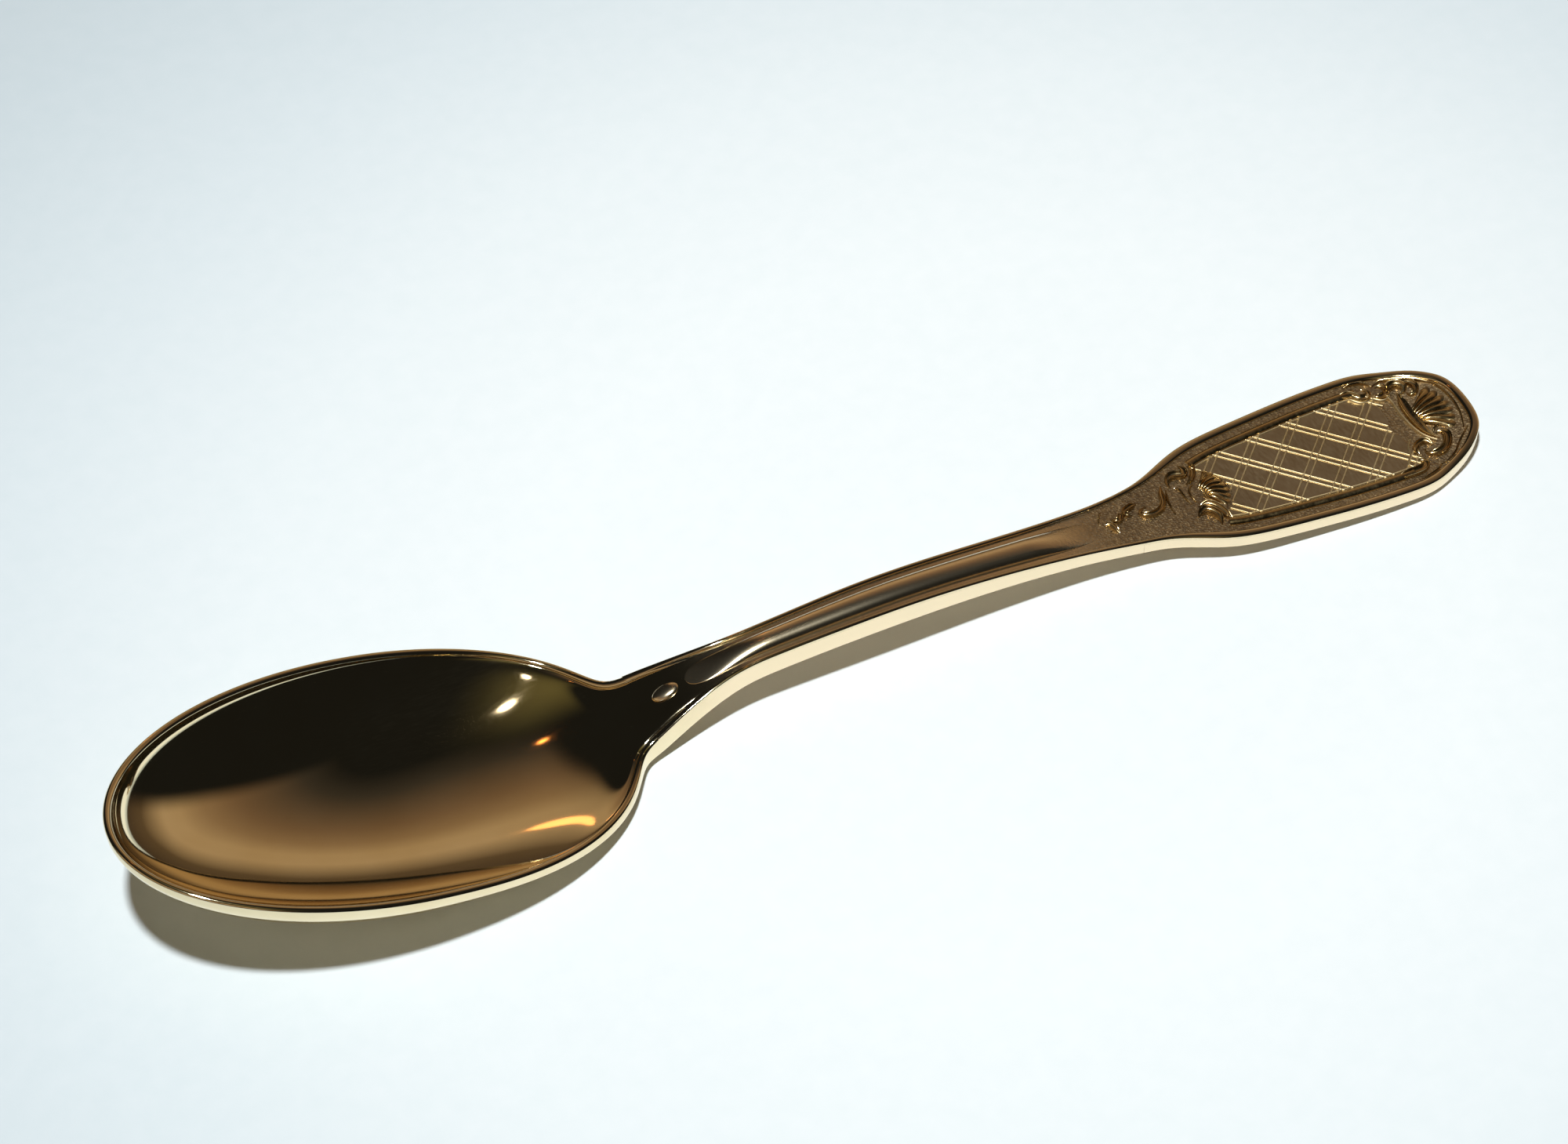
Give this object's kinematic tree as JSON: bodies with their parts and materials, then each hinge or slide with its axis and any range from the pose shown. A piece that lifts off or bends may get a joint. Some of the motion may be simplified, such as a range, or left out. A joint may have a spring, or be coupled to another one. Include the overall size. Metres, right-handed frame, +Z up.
{
  "type": "teaspoon",
  "caption": "Gilt teaspoon with an egg-shaped bowl, an arched stem and a fiddle-shaped handle end with a diamond trellis panel between shells and scrolls.",
  "frame": {"origin": "under the middle of the spoon's length and width, on the surface that it rests on", "axes": "+X from the bowl's tip to the handle's end, +Y across the spoon, +Z up"},
  "size_m": [0.14, 0.0304, 0.0131],
  "materials": {
    "polished_gilt": "polished gilding with fine wear scratches",
    "stippled_gilt": "finely stippled matte gilding, darker in the sunk ground",
    "satin_gilt": "satin gilding of the panel"
  },
  "bodies": {
    "root": {"bowl": "polished_gilt", "neck": "polished_gilt", "stem": "polished_gilt", "terminal": "stippled_gilt", "border": "polished_gilt", "stem_rib": "polished_gilt", "panel": "satin_gilt", "panel_frame": "polished_gilt", "trellis": "polished_gilt", "tip_shell": "polished_gilt", "tip_scrolls": "polished_gilt", "base_shell": "polished_gilt", "base_scrolls": "polished_gilt", "tendril": "polished_gilt"}
  },
  "joints": []
}
